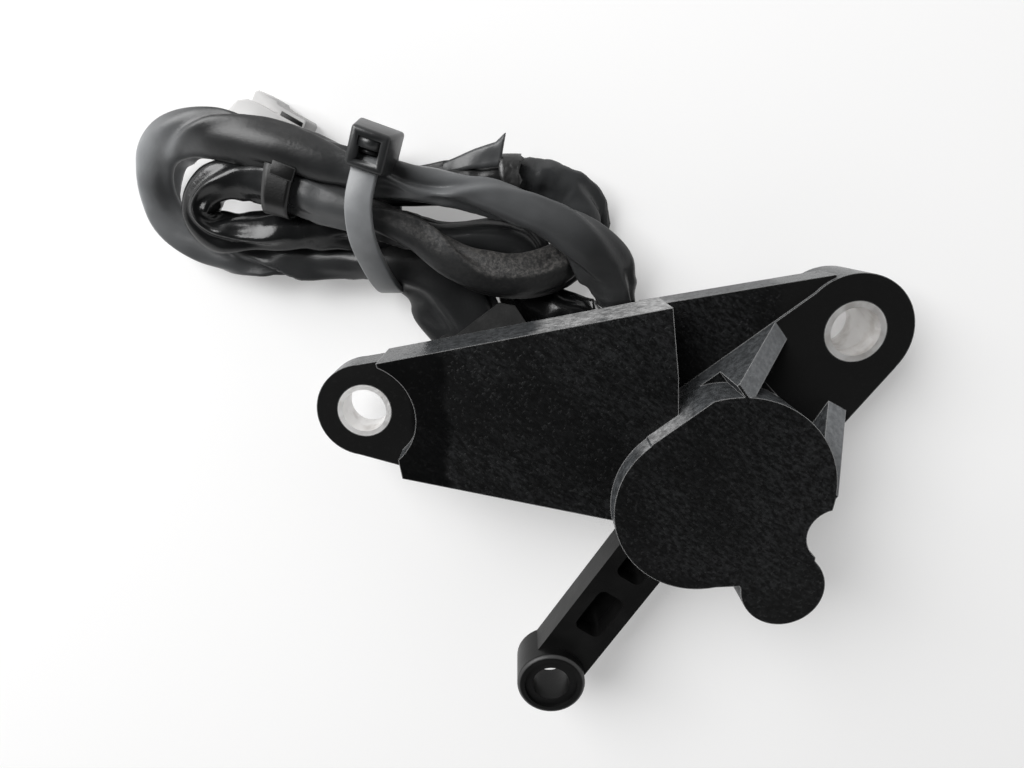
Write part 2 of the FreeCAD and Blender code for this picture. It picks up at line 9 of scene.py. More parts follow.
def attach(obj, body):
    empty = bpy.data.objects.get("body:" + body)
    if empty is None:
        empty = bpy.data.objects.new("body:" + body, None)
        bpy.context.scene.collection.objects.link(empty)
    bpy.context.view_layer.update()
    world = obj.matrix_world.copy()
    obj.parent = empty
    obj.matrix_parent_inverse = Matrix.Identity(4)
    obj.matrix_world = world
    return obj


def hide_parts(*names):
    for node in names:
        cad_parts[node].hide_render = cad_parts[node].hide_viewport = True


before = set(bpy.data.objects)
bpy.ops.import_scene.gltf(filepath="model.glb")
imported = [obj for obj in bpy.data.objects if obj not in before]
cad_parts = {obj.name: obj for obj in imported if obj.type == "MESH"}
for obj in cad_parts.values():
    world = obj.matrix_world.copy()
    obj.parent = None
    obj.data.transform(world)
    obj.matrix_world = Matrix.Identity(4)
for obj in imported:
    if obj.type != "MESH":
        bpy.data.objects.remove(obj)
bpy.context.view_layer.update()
MM = 0.001

# Housing: plate, cup, web and ears in one moulding of glass-filled black nylon.
# The cup's face keeps a fine speckle of fibre, and its upright walls are scuffed grey and painted lighter than its
# faces, partly painted light; slopes, edges and one span of wall carry painted highlights.
# Two steel collars take the bolts, and the lever turns behind the cup.


class Wire:
    """A shader value on its way from node to node; sums on it add Math nodes."""

    def __init__(self, tree, socket=None):
        self.tree = tree
        self.socket = socket

    def node(self, kind, settings, inputs, output=0):
        """Add one node: its settings first, then its sockets' values or links."""
        made = self.tree.nodes.new(kind)
        for name, value in settings.items():
            if name == "stops":
                ramp = made.color_ramp
                while len(ramp.elements) < len(value):
                    ramp.elements.new(0.5)
                for element, (place, shade) in zip(ramp.elements, value):
                    element.position = place
                    element.color = (shade, shade, shade, 1) if isinstance(shade, float) else (*shade, 1)
            else:
                setattr(made, name, value)
        for name, value in inputs.items():
            if isinstance(value, Wire):
                self.tree.links.new(value.socket, made.inputs[name])
            else:
                made.inputs[name].default_value = value
        return Wire(self.tree, made.outputs[output])

    def sum_of(self, operation, first, second):
        return self.node("ShaderNodeMath", {"operation": operation}, {0: first, 1: second})

    def __add__(self, other):
        return self.sum_of("ADD", self, other)

    __radd__ = __add__

    def __sub__(self, other):
        return self.sum_of("SUBTRACT", self, other)

    def __rsub__(self, other):
        return self.sum_of("SUBTRACT", other, self)

    def __mul__(self, other):
        return self.sum_of("MULTIPLY", self, other)

    __rmul__ = __mul__

    def at_most(self, other):
        return self.sum_of("MINIMUM", self, other)

    def at_least(self, other):
        return self.sum_of("MAXIMUM", self, other)

    def between(self, low, high):
        """0 below low, 1 above high, and a smooth step from one to the other."""
        return self.node("ShaderNodeMapRange", {"interpolation_type": "SMOOTHSTEP"},
                         {"Value": self, "From Min": low, "From Max": high})

    def paint(self, under, over):
        """The under colour where this is 0, the over colour where it is 1."""
        sides = {0: self, 6: under, 7: over}
        return self.node("ShaderNodeMix", {"data_type": "RGBA"}, sides, 2)


def grey(level, warmth=0.0):
    """A colour near grey: warmth above 0 leans to brown, below 0 to blue."""
    return (level * (1 + warmth), level, level * (1 - warmth), 1)


class Finish:
    """One material: a Principled shader and the coordinates that its patterns are laid on."""

    def __init__(self, name, **constants):
        self.material = bpy.data.materials.new(name)
        self.material.use_nodes = True
        tree = self.material.node_tree
        self.shader = tree.nodes["Principled BSDF"]
        for socket, value in constants.items():
            self.shader.inputs[socket.replace("_", " ")].default_value = value
        self.start = Wire(tree)
        self.place = self.start.node("ShaderNodeTexCoord", {}, {}, "Object")
        self.normal = self.start.node("ShaderNodeNewGeometry", {}, {}, "Normal")

    def noise(self, size, detail=3.0, roughness=0.5, stretch=None, turn=0.0):
        """Cloudy noise from 0 to 1 whose features are about size metres across, times stretch along turned axes."""
        where = self.place
        if stretch:
            where = self.start.node("ShaderNodeMapping", {"vector_type": "TEXTURE"}, {
                "Vector": where, "Scale": stretch, "Rotation": (0, 0, turn)})
        return self.start.node("ShaderNodeTexNoise", {}, {
            "Vector": where, "Scale": 1 / size, "Detail": detail, "Roughness": roughness}, "Fac")

    def axes(self):
        """Where a point of the surface is along each axis, in metres."""
        return {axis: self.start.node("ShaderNodeSeparateXYZ", {}, {0: self.place}, axis) for axis in "XYZ"}

    def upright(self):
        """1 where the surface faces up, 0 on a wall, -1 underneath."""
        return self.start.node("ShaderNodeSeparateXYZ", {}, {0: self.normal}, "Z")

    def give(self, **links):
        """Link what varies over the surface to the shader's sockets."""
        for socket, value in links.items():
            self.start.tree.links.new(value.socket, self.shader.inputs[socket.replace("_", " ")])

    def relief(self, height, depth, strength=1.0):
        """Raise the surface by height, from 0 to 1, times depth metres."""
        bump = self.start.node("ShaderNodeBump", {}, {
            "Height": height, "Distance": depth, "Strength": strength}, "Normal")
        self.give(Normal=bump)

    def on(self, *nodes):
        """Give this finish to CAD nodes or to scene pieces."""
        for node in nodes:
            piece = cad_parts[node] if isinstance(node, str) else node
            if not piece.data.materials:
                piece.data.materials.append(self.material)
            for index in range(len(piece.data.materials)):
                piece.data.materials[index] = self.material


moulded = Finish("glass_filled_black", Specular_IOR_Level=0.2)
spot = moulded.axes()
speckle = moulded.noise(0.0005, 2.0).between(0.55, 0.75)
flow = moulded.noise(0.007, 4.0, 0.6)
fibres = moulded.noise(0.0005, 3.0, 0.7, stretch=(2.0, 0.9, 1.0), turn=-0.65)
patches = moulded.noise(0.013, 3.0, 0.55, stretch=(1.6, 0.8, 1.0), turn=-0.65).between(0.36, 0.64)
up = moulded.upright()
# Walls are painted lighter than faces: partly real scuffs, partly painted light on the faces that stand sideways.
wall = 1 - up.between(0.15, 0.6)
slope = up.between(0.35, 0.5) * (1 - up.between(0.8, 0.95))
scuff = moulded.noise(0.0009, 5.0, 0.7).between(0.34, 0.7)
# Painted highlight along edges: a rounded normal marks them, and they are painted light grey.
rounded_normal = moulded.start.node("ShaderNodeBevel", {"samples": 6}, {"Radius": 0.00026}, "Normal")
edge = 1 - moulded.start.node("ShaderNodeVectorMath", {"operation": "DOT_PRODUCT"},
                              {0: rounded_normal, 1: moulded.normal}, "Value").between(0.8, 0.985)
ragged_x = spot["X"] + 0.007 * (flow - 0.5)
polished = 1 - ragged_x.between(-0.0585, -0.0570)
low_ears = (1 - spot["Z"].between(0.0136, 0.014)) * (spot["X"].between(-0.012, -0.010) + 1 - spot["X"].between(-0.0635, -0.0625))
sleek = (polished + low_ears).at_most(1.0)
texture = (speckle * 0.4 + fibres.between(0.35, 0.75) * (0.3 + patches)) * (1 - 0.85 * sleek)
face_shade = texture.paint(grey(0.0012, -0.06), grey(0.013, -0.04))
face_shade = (low_ears * 0.8).paint(face_shade, grey(0.008))
wall_shade = (scuff * (0.4 + 0.6 * flow)).paint(grey(0.024, -0.05), grey(0.09, -0.05))
# Painted glint: walls that face +Y along one span of the cup are painted pale grey where the lamp glints on them.
facing = moulded.start.node("ShaderNodeSeparateXYZ", {}, {0: moulded.normal}, "Y")
glint_span = ragged_x.between(-0.0465, -0.0435) * (1 - ragged_x.between(-0.0285, -0.0235))
painted_glint = facing.between(0.6, 0.9) * glint_span * moulded.noise(0.004, 3.0, 0.6).between(0.25, 0.5)
wall_shade = painted_glint.paint(wall_shade, scuff.paint(grey(0.14), grey(0.4)))
# Painted light: walls lighter than faces, and slopes such as the ribs' tops lighter again, a painted highlight.
shade = slope.paint(wall.paint(face_shade, wall_shade), scuff.paint(grey(0.11, -0.04), grey(0.18, -0.04)))
# The edges' painted highlight goes over all the rest here.
moulded.give(Base_Color=(edge * 0.85).paint(shade, grey(0.3)),
             Roughness=0.4 + 0.14 * flow + 0.1 * speckle - 0.12 * sleek - 0.1 * wall)
moulded.relief((fibres * 0.35 + speckle * 0.4) * (1 - 0.8 * sleek) + flow * 0.4, 0.00014, 0.7)
moulded.on("housing")

steel = Finish("zinc_steel", Metallic=1.0)
turning = steel.noise(0.0006, 4.0, 0.6, stretch=(1.0, 1.0, 3.0))
stain = steel.noise(0.003, 3.0).between(0.45, 0.7)
steel.give(Base_Color=stain.paint(grey(0.9, 0.01), grey(0.7, 0.03)), Roughness=0.42 + 0.25 * turning)
steel.relief(turning, 0.0001, 0.5)
steel.on("right_collar", "left_collar", "rotor_shaft", "shaft_clip", "return_spring")

# Lever: a smoother black moulding on the rotor's shaft, with two lightening pockets and a boss.
# A thin black bush is pressed into the boss for the linkage pin.
smooth = Finish("smooth_black", Specular_IOR_Level=0.25)
cloud = smooth.noise(0.004, 3.0)
fine = smooth.noise(0.0003, 2.0)
rise = smooth.upright()
# Painted highlight: sloping faces, such as the boss's rounded rim, are painted lighter than the flat ones.
rim = rise.between(0.25, 0.5) * (1 - rise.between(0.85, 0.97))
smooth.give(Base_Color=rim.paint(cloud.paint(grey(0.002), grey(0.006)), grey(0.04)),
            Roughness=0.28 + 0.2 * cloud)
smooth.relief(fine * 0.4 + cloud, 0.00008, 0.5)
smooth.on("lever", "lever_bush", "bearing_plate")

# Sensor parts inside the cup: a phenolic board with brass wipers, terminals and three thin wires.
# They are seen only from the open back, behind the lever's hub.
board = Finish("phenolic_board")
board_cloud = board.noise(0.002, 4.0)
board.give(Base_Color=board_cloud.paint((0.13, 0.06, 0.02, 1), (0.2, 0.1, 0.04, 1)), Roughness=0.4 + 0.2 * board_cloud)
board.on("element_board", "wiper_carrier")
brass = Finish("contact_brass", Metallic=1.0)
brass_cloud = brass.noise(0.0012, 3.0)
brass.give(Base_Color=brass_cloud.paint((0.62, 0.42, 0.16, 1), (0.48, 0.33, 0.14, 1)), Roughness=0.25 + 0.2 * brass_cloud)
brass.on("wiper_contacts", "element_terminals", "connector_terminals")
insulation = Finish("wire_insulation")
wire_cloud = insulation.noise(0.002, 3.0)
insulation.give(Base_Color=wire_cloud.paint((0.25, 0.02, 0.015, 1), (0.32, 0.03, 0.02, 1)), Roughness=0.4 + 0.15 * wire_cloud)
insulation.on("lead_wires")
resin = Finish("potting_resin", Coat_Weight=0.3)
resin_flow = resin.noise(0.008, 2.0)
resin.give(Base_Color=resin_flow.paint(grey(0.01), grey(0.025)), Roughness=0.15 + 0.3 * resin_flow)
resin.relief(resin_flow, 0.0004, 0.4)
resin.on("potting_resin")

# Boot and seals: soft black rubber, matt with a faint bloom of dust.
# The boot's lip lies on the plate's back where the lead leaves it.
rubber = Finish("soft_rubber", Specular_IOR_Level=0.3)
bloom = rubber.noise(0.0035, 4.0, 0.6)
skin = rubber.noise(0.0004, 2.0)
rubber.give(Base_Color=bloom.between(0.4, 0.75).paint(grey(0.012), grey(0.022)), Roughness=0.5 + 0.25 * bloom)
rubber.relief(skin * 0.5 + bloom, 0.00012, 0.5)
rubber.on("cable_boot", "shaft_seal", "wire_seal")

# Lead: three wires in a loose soft PVC sleeve that lies flat, creased and dusty in a tied hank.
# It leaves the boot, goes twice round the left loop and twice round the right one.
# It ends in the connector that lies half under the hank.
LEAD_ROUTE = [
    (-54.6, -1.5, 4.2), (-56.2, 0.6, 4.2), (-58.6, 3.2, 4.2), (-60.6, 6.4, 4.3), (-64.6, 8.8, 4.2),
    (-69.8, 9.2, 3.8), (-77.1, 9.4, 3.1), (-84.5, 10.4, 2.9), (-90.5, 10.8, 2.8), (-95.0, 11.9, 2.8),
    (-98.6, 14.3, 2.9), (-99.9, 17.5, 3.2), (-99.6, 21.2, 4.0), (-97.4, 24.6, 5.6), (-93.2, 26.3, 8.0),
    (-88.2, 26.5, 9.6), (-82.3, 25.2, 10.6), (-76.5, 23.4, 10.8), (-70.9, 22.0, 10.3), (-63.8, 20.3, 9.5),
    (-57.8, 19.4, 8.9), (-51.1, 18.2, 8.7), (-44.2, 15.8, 8.7), (-38.6, 12.7, 8.4), (-35.0, 9.2, 7.0),
    (-33.5, 5.2, 5.4), (-33.3, 2.2, 4.7), (-35.6, 0.3, 4.0), (-39.6, 0.6, 3.3), (-44.6, 1.8, 2.7),
    (-47.2, 4.8, 2.5), (-45.4, 8.8, 2.6), (-46.8, 12.2, 2.9), (-52.4, 12.7, 3.0), (-60.0, 12.6, 3.2),
    (-66.6, 13.8, 3.8), (-72.2, 13.6, 5.2), (-78.8, 14.0, 6.6), (-86.4, 13.4, 7.2), (-91.0, 13.8, 7.6),
    (-92.4, 16.8, 8.0), (-90.2, 19.8, 8.5), (-85.3, 20.8, 8.9), (-79.5, 19.9, 9.2), (-74.1, 18.0, 9.6),
    (-69.8, 16.4, 9.8), (-66.1, 15.1, 9.7), (-61.7, 13.0, 9.3), (-57.8, 10.2, 8.8), (-53.0, 8.0, 8.2),
    (-47.6, 7.2, 7.2), (-42.3, 8.4, 5.4), (-39.2, 11.0, 3.4), (-38.0, 13.6, 2.8), (-38.4, 16.4, 3.0),
    (-40.4, 18.6, 3.4), (-43.0, 20.2, 3.9), (-46.2, 21.0, 4.3), (-49.4, 21.2, 4.5), (-54.7, 20.6, 4.4),
    (-60.3, 19.8, 4.0), (-66.0, 19.6, 3.6), (-70.6, 19.4, 3.4), (-74.2, 19.8, 3.2), (-77.0, 21.4, 3.2),
]
LEAD_WIDTH = 6.2 * MM
SLEEVE_SIDES = 48


def route_line(name, route, steps):
    """The points of one smooth curve that follows a given route, and nothing else of it."""
    curve = bpy.data.curves.new(name, "CURVE")
    curve.dimensions = "3D"
    curve.resolution_u = steps
    spline = curve.splines.new("NURBS")
    spline.points.add(len(route) - 1)
    for point, (x, y, z) in zip(spline.points, route):
        point.co = (x * MM, y * MM, z * MM, 1)
    spline.order_u = 3
    spline.use_endpoint_u = True
    holder = bpy.data.objects.new(name, curve)
    bpy.context.scene.collection.objects.link(holder)
    bpy.context.view_layer.update()
    line = bpy.data.meshes.new_from_object(holder)
    points = [vertex.co.copy() for vertex in line.vertices]
    bpy.data.objects.remove(holder)
    bpy.data.curves.remove(curve)
    bpy.data.meshes.remove(line)
    return points


def piece_from(name, mesh):
    """Put a finished bmesh in the scene as one piece, at the origin."""
    data = bpy.data.meshes.new(name)
    mesh.to_mesh(data)
    mesh.free()
    for face in data.polygons:
        face.use_smooth = True
    piece = bpy.data.objects.new(name, data)
    bpy.context.scene.collection.objects.link(piece)
    return piece


lead_line = route_line("lead_line", LEAD_ROUTE, 9)
# How the sleeve lies at stations along its route: route point, width, thickness, roll in degrees,
# gloss from 0, matt, to 1, shiny and crumpled, then dust, painted lighter on the side towards +Y, and a pale painted
# sheen, each from 0 to 1.
SLEEVE_LIES = [
    (0, 9.0, 4.6, 0, 0.2, 0, 0.06), (1, 11.6, 4.0, 0, 0.2, 0, 0.05), (2.2, 11.4, 3.8, 0, 0.2, 0, 0.04),
    (3.4, 8.8, 4.2, -10, 0.2, 0.1, 0.04), (5, 5.0, 4.8, 15, 0.4, 0.2, 0.06), (7, 6.4, 4.2, 30, 0.6, 0, 0.13),
    (9, 6.6, 4.0, 40, 0.4, 0, 0.3), (11, 6.2, 3.4, 66, 0, 0.1, 0.85), (12.4, 6.0, 3.4, 58, 0, 0.1, 0.9),
    (14, 6.4, 3.8, 18, 0, 0.1, 0.35), (15, 6.5, 4.0, 0, 0, 0.1, 0.04), (17, 6.4, 4.0, 8, 0.1, 0.1, 0.02),
    (18.5, 5.4, 4.4, 0, 0.2, 0.1, 0.12), (20, 4.6, 4.2, 20, 0.3, 0, 0.3), (22, 5.4, 4.0, 10, 0.4, 0, 0.16),
    (24, 7.8, 3.4, 0, 0.3, 0.1, 0.05), (25.5, 6.4, 4.2, -20, 0.5, 0, 0.03), (27, 6.6, 4.0, 0, 1, 0, 0),
    (29.5, 8.6, 4.2, 0, 1, 0, 0), (32, 6.2, 4.0, 10, 0.5, 0, 0.04), (34, 4.6, 4.2, 0, 0.4, 0, 0.1),
    (37, 5.6, 4.4, 20, 0.9, 0, 0.03), (40, 5.2, 4.2, -15, 0.9, 0, 0), (42, 5.6, 4.4, 0, 0.9, 0, 0.03),
    (43.4, 6.0, 4.0, 0, 0.5, 0, 0.16), (44, 6.4, 4.0, 0, 0.3, 0.2, 0.22), (45.6, 4.8, 4.2, 0, 0.2, 0.4, 0.1),
    (47, 4.2, 4.0, -25, 0.1, 0.7, 0.06), (49, 6.2, 4.2, 0, 0.1, 0.9, 0.03), (51, 6.6, 4.4, 0, 0.1, 0.9, 0.03),
    (52.2, 6.2, 4.0, 10, 0.6, 0.2, 0.01), (53.4, 6.4, 3.4, 10, 0.9, 0, 0.06), (55, 6.8, 3.2, -15, 0.9, 0, 0.13),
    (57, 5.2, 3.4, 0, 1, 0, 0.06), (58.5, 5.0, 3.8, 0, 0.5, 0, 0), (59.6, 6.2, 3.8, -15, 0.1, 0, 0),
    (61, 4.8, 3.6, 0, 0.1, 0, 0), (64, 4.4, 4.4, 0, 0.3, 0, 0.06),
]
RIDGES = 3
TABLE_GAP = 0.1 * MM
SMOOTHINGS = 3


def sleeve_skin(turn, run, lie, seed):
    """Where the sleeve's skin is, sideways and upwards, at one angle round it and one run along it."""
    width, thickness, gloss = lie
    side = math.cos(turn) * width / 2
    height = math.copysign(abs(math.sin(turn)) ** 1.35, math.sin(turn)) * thickness / 2
    fold = 0.0
    for number in range(RIDGES):
        wander = noise.noise(Vector((run / 18, number * 5.3, seed)))
        strength = max(0.0, noise.noise(Vector((run / 13, number * 3.1, seed + 4))) * 1.5 + 0.5)
        gap = math.remainder(turn - number * 2.1 - 1.7 * wander, 2 * math.pi)
        fold += strength * (1.2 * math.exp(-(gap / 0.2) ** 2) - 1.1 * math.exp(-((gap - 0.4) / 0.26) ** 2))
    skin = Vector((run / (7 - 2.5 * gloss), math.cos(turn) * 0.8, math.sin(turn) * 0.8))
    dent = (0.3 + 0.5 * gloss) * noise.noise(skin)
    kink = 0.9 * gloss * (abs(noise.noise(skin * 1.3 + Vector((0, 5, 2)))) - 0.22)
    reach = 1 + (fold + dent - kink) / (0.5 * max(width, thickness))
    return side * reach * MM, height * reach * MM


def sleeve_mesh(points, sides, lies, seed):
    """Sweep the sleeve along a line: one ring of edges pushed on from point to point."""
    mesh = bmesh.new()
    gloss_layer = mesh.verts.layers.float.new("gloss")
    dust_layer = mesh.verts.layers.float.new("dust")
    # The bloom layer carries the pale painted sheen along lit stretches of the sleeve.
    painted_sheen_layer = mesh.verts.layers.float.new("bloom")
    ring = bmesh.ops.create_circle(mesh, segments=sides, radius=LEAD_WIDTH / 2)["verts"]
    edges = list(mesh.edges)
    stations = np.array(lies).T
    runs = np.linspace(0.5, len(LEAD_ROUTE) - 1.5, len(points))
    run = 0.0
    for index, point in enumerate(points):
        behind = points[max(index - 1, 0)]
        heading = (points[min(index + 1, len(points) - 1)] - behind).normalized()
        run += (point - behind).length / MM
        width, thickness, roll, gloss, dust, pale = [np.interp(runs[index], stations[0], row) for row in stations[1:]]
        sideways = heading.cross(Vector((0, 0, 1))).normalized()
        sideways = Matrix.Rotation(math.radians(roll), 3, heading) @ sideways
        upwards = sideways.cross(heading)
        if index:
            grown = bmesh.ops.extrude_edge_only(mesh, edges=edges)["geom"]
            ring = [part for part in grown if isinstance(part, bmesh.types.BMVert)]
            fresh = set(ring)
            edges = [part for part in grown if isinstance(part, bmesh.types.BMEdge) and fresh.issuperset(part.verts)]
        for number, vertex in enumerate(ring):
            side, height = sleeve_skin(2 * math.pi * number / sides, run, (width, thickness, gloss), seed)
            vertex.co = point + sideways * side + upwards * height
            vertex.co.z = max(vertex.co.z, TABLE_GAP)
            vertex[gloss_layer] = gloss
            vertex[dust_layer] = dust
            vertex[painted_sheen_layer] = pale
    bmesh.ops.holes_fill(mesh, edges=[edge for edge in mesh.edges if edge.is_boundary], sides=0)
    for _ in range(SMOOTHINGS):
        bmesh.ops.smooth_vert(mesh, verts=mesh.verts, factor=0.5, use_axis_x=True, use_axis_y=True, use_axis_z=True)
    bmesh.ops.recalc_face_normals(mesh, faces=mesh.faces)
    return mesh


lead = piece_from("lead_sleeve", sleeve_mesh(lead_line, SLEEVE_SIDES, SLEEVE_LIES, 1.0))
pvc = Finish("soft_pvc", Specular_IOR_Level=0.4)
shiny, dusty, painted_sheen = [pvc.start.node("ShaderNodeAttribute", {"attribute_name": name}, {}, "Fac")
                          for name in ("gloss", "dust", "bloom")]
dust_grain = pvc.noise(0.0006, 6.0, 0.8)
# Dust is painted mostly on faces towards +Y, which the lamp lights: real dust, partly painted light.
lit_side = pvc.start.node("ShaderNodeSeparateXYZ", {}, {0: pvc.normal}, "Y").between(-0.25, 0.6)
dust = dusty * (dust_grain.between(0.4, 0.68) + 0.15) * (0.12 + 0.7 * lit_side)
haze = pvc.noise(0.012, 3.0, 0.5)
crease = pvc.noise(0.008, 1.5, 0.4)
crumple = pvc.noise(0.0055, 1.5, 0.4)
skin_grain = pvc.noise(0.0005, 2.0)
# Painted sheen: lit stretches of the sleeve are painted pale grey, standing in for the lamp's highlight on them.
painted_sheen_colour = (painted_sheen * (0.55 + 0.45 * haze.between(0.3, 0.7))).paint(grey(0.004, -0.04), grey(0.36, -0.03))
pvc.give(Base_Color=dust.at_most(1.0).paint(painted_sheen_colour, dust_grain.paint(grey(0.03, 0.08), grey(0.13, 0.06))),
         Roughness=0.32 + 0.1 * haze - 0.16 * shiny + 0.3 * dust)
pvc.relief(crease * 0.7 + crumple * shiny + 0.05 * skin_grain + 0.2 * dust * dust_grain, 0.0007, 0.6)
pvc.on(lead, "cable_hank", "cable_tail")
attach(lead, "base")
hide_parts("cable_hank", "cable_tail")

# Tie: a nylon strap drawn tight round the hank's waist, with its ratchet head at the top.
# The strap goes in at the head's back, out at its face, and is cut off flush in the slot.
STRAP_ROUTE = [
    (-67.2, 23.4, 12.6), (-67.9, 20.8, 13.4), (-68.6, 18.0, 13.9), (-68.7, 15.2, 13.8), (-68.5, 12.4, 12.8), (-68.0, 9.6, 10.2),
    (-67.2, 6.6, 7.4), (-66.6, 5.0, 4.6), (-66.4, 5.2, 1.6), (-66.6, 8.4, 0.7), (-67.0, 14.0, 0.7), (-67.0, 20.0, 0.7),
    (-67.0, 24.0, 1.4), (-66.9, 25.6, 4.4), (-66.9, 25.8, 8.0), (-66.9, 25.4, 11.4),
]
STRAP_WIDTH = 3.5 * MM
STRAP_THICKNESS = 1.1 * MM
HANK_AXIS = Vector((1, 0, 0))


def strap_mesh(points):
    """Sweep the strap's flat section along its line, its width lying along the hank."""
    mesh = bmesh.new()
    ring = bmesh.ops.create_grid(mesh, x_segments=1, y_segments=1, size=0.5)["verts"]
    bmesh.ops.delete(mesh, geom=list(mesh.faces), context="FACES_ONLY")
    spans = [vertex.co.copy() for vertex in ring]
    edges = list(mesh.edges)
    for index, point in enumerate(points):
        ahead = points[min(index + 1, len(points) - 1)]
        heading = (ahead - points[max(index - 1, 0)]).normalized()
        along = (HANK_AXIS - heading * heading.dot(HANK_AXIS)).normalized()
        outward = along.cross(heading)
        if index:
            grown = bmesh.ops.extrude_edge_only(mesh, edges=edges)["geom"]
            ring = [part for part in grown if isinstance(part, bmesh.types.BMVert)]
            fresh = set(ring)
            edges = [part for part in grown if isinstance(part, bmesh.types.BMEdge) and fresh.issuperset(part.verts)]
        for span, vertex in zip(spans, ring):
            vertex.co = point + along * span.x * STRAP_WIDTH + outward * span.y * STRAP_THICKNESS
    bmesh.ops.holes_fill(mesh, edges=[edge for edge in mesh.edges if edge.is_boundary], sides=0)
    bmesh.ops.recalc_face_normals(mesh, faces=mesh.faces)
    lengthwise = [edge for edge in mesh.edges if edge.calc_face_angle(0) > 0.8]
    bmesh.ops.bevel(mesh, geom=lengthwise, offset=STRAP_THICKNESS * 0.22, affect="EDGES", segments=2, profile=0.5,
                    material=-1)
    return mesh


HEAD_SIZE = Vector((6.3, 6.0, 5.6)) * MM
HEAD_PLACE = Vector((-66.7, 24.3, 12.2)) * MM
HEAD_TURN = math.radians(-19)
HEAD_LEAN = math.radians(9)


def sharp_edges(mesh, angle):
    """The edges where a shape's faces meet at more than an angle."""
    return [edge for edge in mesh.edges if edge.calc_face_angle(0) > angle]


def soft_edges(mesh, edges, size, segments=2):
    """Round a shape's edges by one size."""
    bmesh.ops.bevel(mesh, geom=edges, offset=size, affect="EDGES", segments=segments, profile=0.5, material=-1)


def tie_head_mesh():
    """The ratchet head: a bevelled box, tapered to its face, with a deep slot and the cut strap in it."""
    mesh = bmesh.new()
    bmesh.ops.create_cube(mesh, size=1)
    bmesh.ops.scale(mesh, vec=HEAD_SIZE, verts=mesh.verts)
    top = [vertex for vertex in mesh.verts if vertex.co.z > 0]
    bmesh.ops.scale(mesh, vec=(0.8, 0.84, 1), verts=top)
    soft_edges(mesh, list(mesh.edges), 0.5 * MM, 3)
    face = max(mesh.faces, key=lambda side: side.calc_center_median().z)
    bmesh.ops.inset_individual(mesh, faces=[face], thickness=0.75 * MM)
    sunk = bmesh.ops.extrude_face_region(mesh, geom=[face])["geom"]
    bmesh.ops.delete(mesh, geom=[face], context="FACES_ONLY")
    floor_verts = [part for part in sunk if isinstance(part, bmesh.types.BMVert)]
    bmesh.ops.translate(mesh, vec=(0, 0, -3.4 * MM), verts=floor_verts)
    for size, place in (((2.9, 1.5, 3.0), (0, 0.95, 1.1)), ((2.5, 0.5, 2.4), (0, -0.3, 0.6))):
        tongue = bmesh.ops.create_cube(mesh, size=1)["verts"]
        bmesh.ops.scale(mesh, vec=Vector(size) * MM, verts=tongue)
        bmesh.ops.translate(mesh, vec=Vector(place) * MM, verts=tongue)
    turn = Matrix.Rotation(HEAD_TURN, 4, "Z") @ Matrix.Rotation(HEAD_LEAN, 4, "X")
    bmesh.ops.transform(mesh, matrix=Matrix.Translation(HEAD_PLACE) @ turn, verts=mesh.verts)
    return mesh


tie_line = route_line("tie_line", STRAP_ROUTE, 8)
tie_strap = piece_from("tie_strap", strap_mesh(tie_line))
tie_head = piece_from("tie_head", tie_head_mesh())
glare_painted_nylon = Finish("tie_nylon_painted_glare", Specular_IOR_Level=0.5)
nylon_cloud = glare_painted_nylon.noise(0.003, 3.0)
nylon_grain = glare_painted_nylon.noise(0.0004, 2.0)
# Painted glare: the strap is black nylon like its head, but painted light grey where the lamp glares on it.
glare_painted_nylon.give(Base_Color=nylon_cloud.paint(grey(0.13, -0.03), grey(0.23, -0.03)), Roughness=0.3 + 0.18 * nylon_cloud)
glare_painted_nylon.relief(nylon_cloud + 0.2 * nylon_grain, 0.0001, 0.5)
glare_painted_nylon.on(tie_strap)
head_nylon = Finish("tie_head_nylon", Specular_IOR_Level=0.5)
head_cloud = head_nylon.noise(0.003, 3.0)
head_nylon.give(Base_Color=head_cloud.paint(grey(0.012, -0.04), grey(0.024, -0.04)), Roughness=0.26 + 0.16 * head_cloud)
head_nylon.relief(head_cloud + 0.2 * head_nylon.noise(0.0004, 2.0), 0.0001, 0.5)
head_nylon.on(tie_head)
for piece in (tie_strap, tie_head):
    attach(piece, "base")
    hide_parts("cable_tie")

# Clip and tape: a stiff folded clip on the inner run, and a turn of black tape on the loop.
# Each is wrapped round the sleeve, so it follows the sleeve's own line there.
CLIP_HOOK = Vector((3.2, 1.9, 0.9))
CLIP_HOOK_PLACE = Vector((-78.6, 21.6, 12.0))
CLIP_TURN = math.radians(-22)


def nearest(points, spot):
    """The number of the point of a line that is nearest to a spot given in millimetres."""
    return min(range(len(points)), key=lambda number: (points[number] - Vector(spot) * MM).length)


